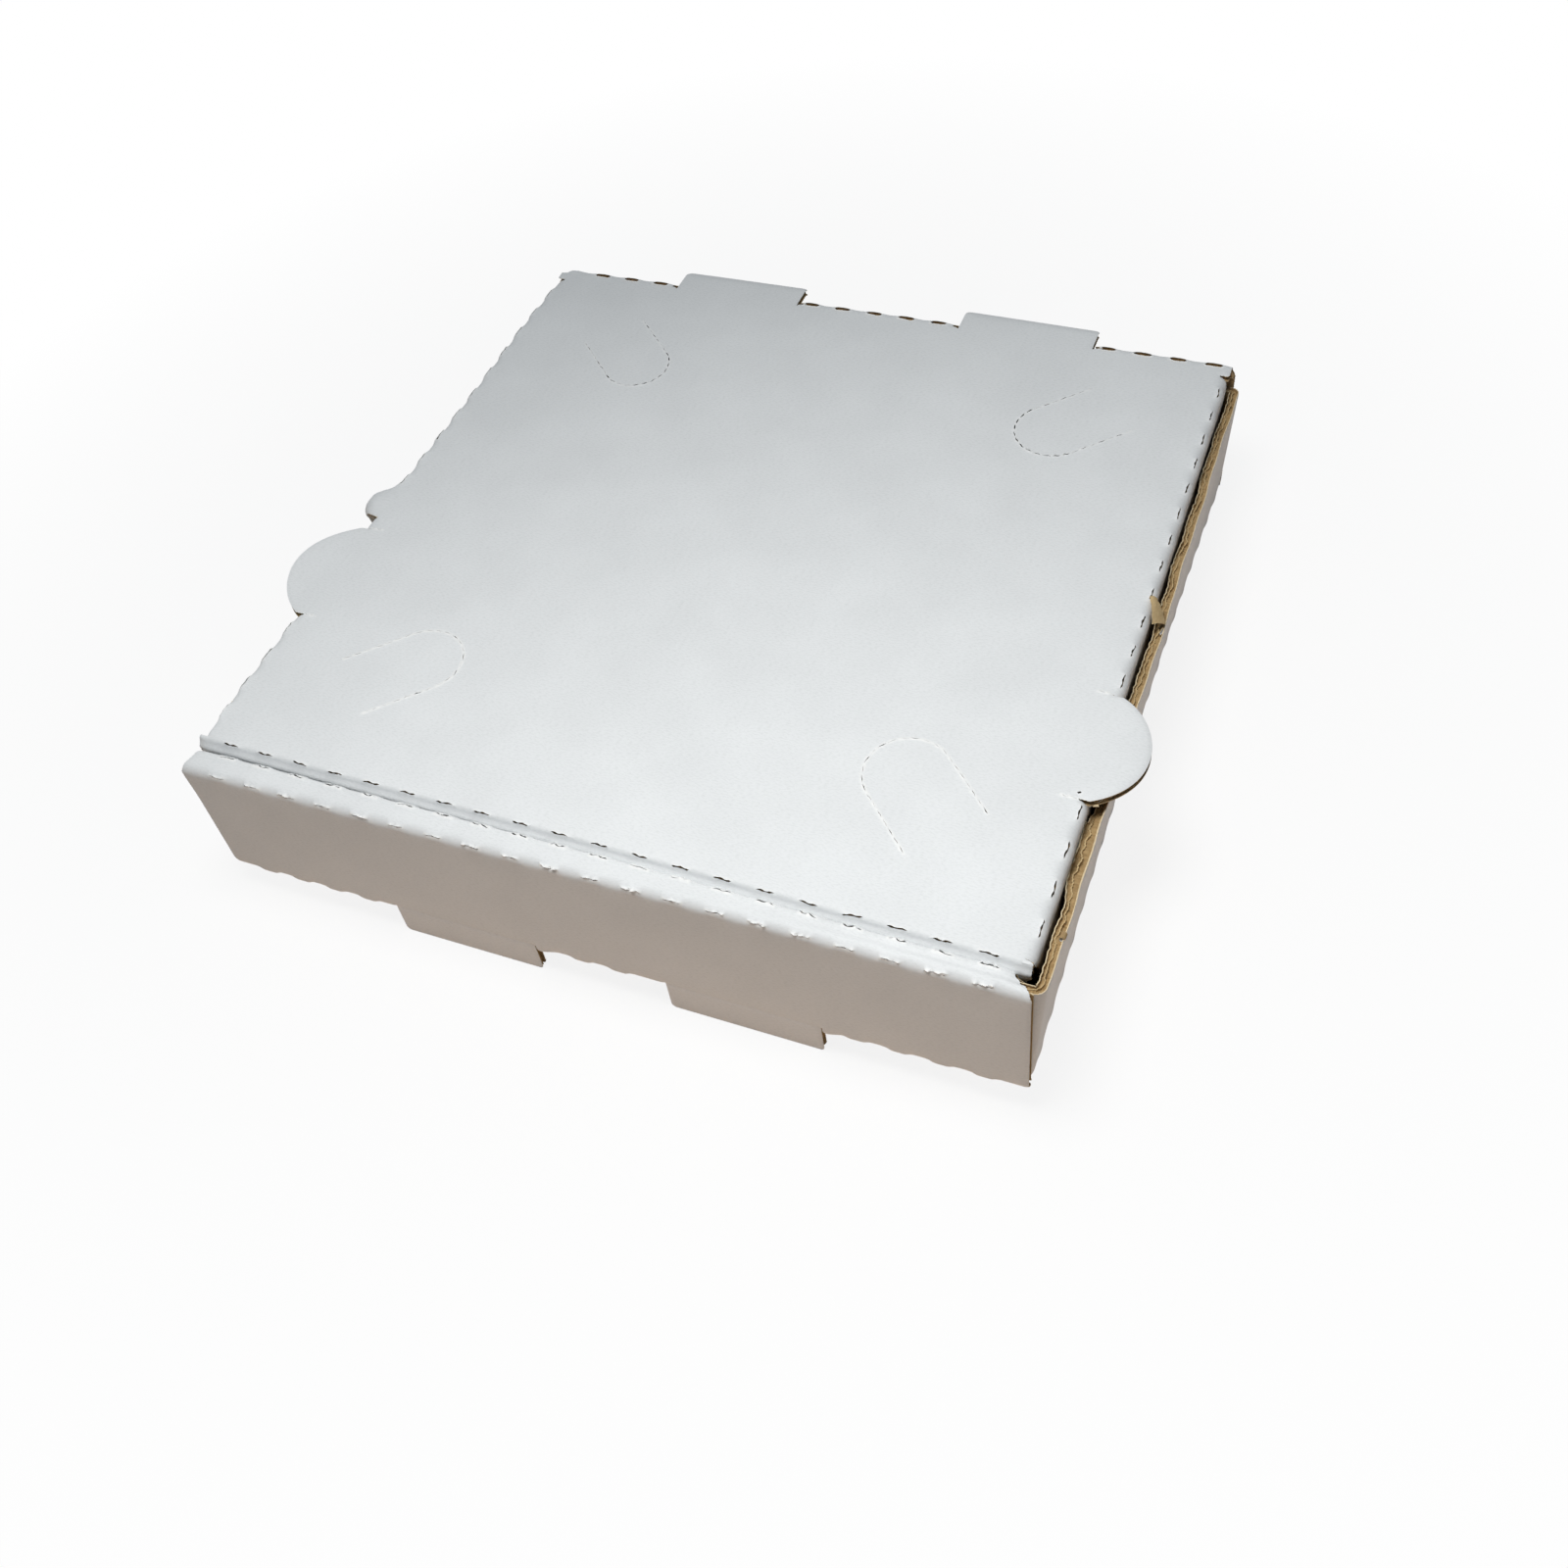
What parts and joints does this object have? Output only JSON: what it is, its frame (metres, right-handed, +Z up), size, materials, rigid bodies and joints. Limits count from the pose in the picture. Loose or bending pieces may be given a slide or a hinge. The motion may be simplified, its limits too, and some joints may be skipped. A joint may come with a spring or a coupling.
{
  "type": "pizza box",
  "caption": "Closed shallow folding box of white-lined corrugated board with a hinged tuck-in lid, thumb ears, vent tabs and a locked roll-over front wall.",
  "frame": {"origin": "centre of the underside of the floor", "axes": "+X to the right along the front wall, +Y from the front wall to the hinge, +Z up, out of the lid"},
  "size_m": [0.2914, 0.2783, 0.0625],
  "materials": {
    "white_board": "matte"
  },
  "bodies": {
    "tray": {"tray": "white_board"},
    "lid": {"lid": "white_board"}
  },
  "joints": [
    {"name": "lid_hinge", "type": "hinge", "parent": "tray", "child": "lid", "pos_m": [0, 0.13265, 0.05115], "axis": [-1, 0, 0], "range_deg": [0, 180]}
  ]
}
